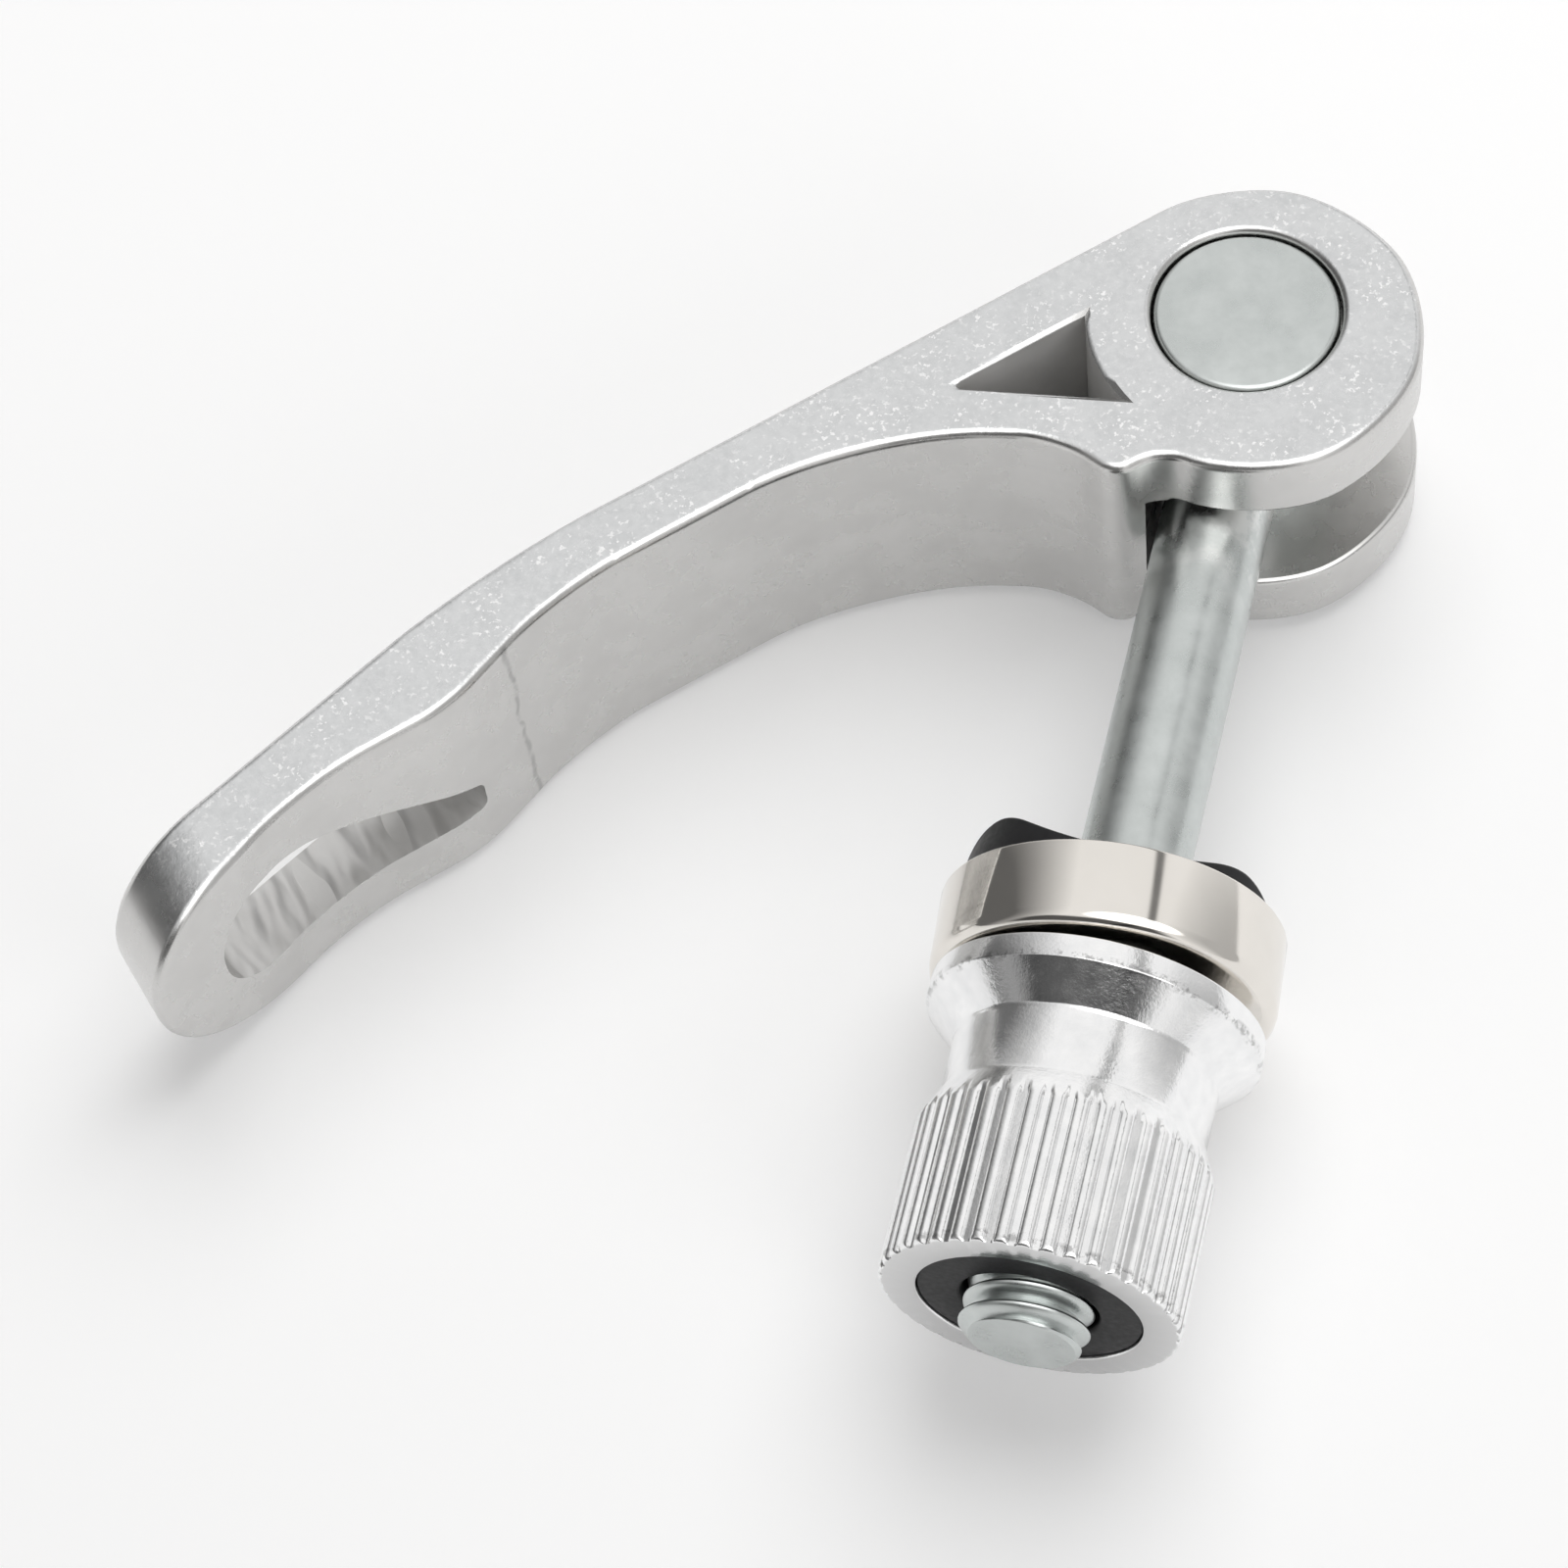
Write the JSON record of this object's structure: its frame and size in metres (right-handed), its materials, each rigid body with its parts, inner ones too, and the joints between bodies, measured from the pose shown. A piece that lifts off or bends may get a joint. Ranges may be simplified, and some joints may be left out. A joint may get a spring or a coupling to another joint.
{
  "type": "quick release seatpost clamp",
  "caption": "Quick release seatpost clamp: forked cam lever on a cross pin, rod with a rolled thread, saddle washer loose in a leaning drawn cup, fluted thumb nut with a lock insert.",
  "frame": {"origin": "centre of the pivot pin, on the axis of the rod", "axes": "+Z along the pivot pin, up as the clamp lies on its side; the rod runs along -Y from the pin to the nut; the lever reaches towards -X and -Y"},
  "size_m": [0.0541, 0.059, 0.0162],
  "materials": {
    "lever_alloy": "tumbled bright forging with grainy side faces",
    "plated_steel": "zinc plated, cloudy",
    "nickel_cup": "nickel plated, polished",
    "nut_alloy": "bright turned",
    "black_nylon": "moulded, slightly satin"
  },
  "bodies": {
    "rod": {"clamp_rod": "plated_steel", "pivot_pin": "plated_steel"},
    "lever": {"cam_lever": "lever_alloy"},
    "washer": {"saddle_washer": "black_nylon", "cup_ring": "nickel_cup"},
    "nut": {"clamp_nut": "nut_alloy", "lock_insert": "black_nylon"}
  },
  "joints": [
    {"name": "lever_pivot", "type": "hinge", "parent": "rod", "child": "lever", "pos_m": [0, 0, 0], "axis": [0, 0, 1], "range_deg": [-150, 2]},
    {"name": "washer_travel", "type": "slide", "parent": "rod", "child": "washer", "axis": [0, 1, 0], "range_m": [-0.01201, 0.00501]},
    {"name": "nut_turn", "type": "hinge", "parent": "washer", "child": "nut", "pos_m": [0, -0.0425, 0], "axis": [0, 1, 0], "range_deg": [-4320, 1800]}
  ],
  "couplings": [
    {"joint": "washer_travel", "follows": "nut_turn", "m_per_rad": 0.00015915}
  ]
}
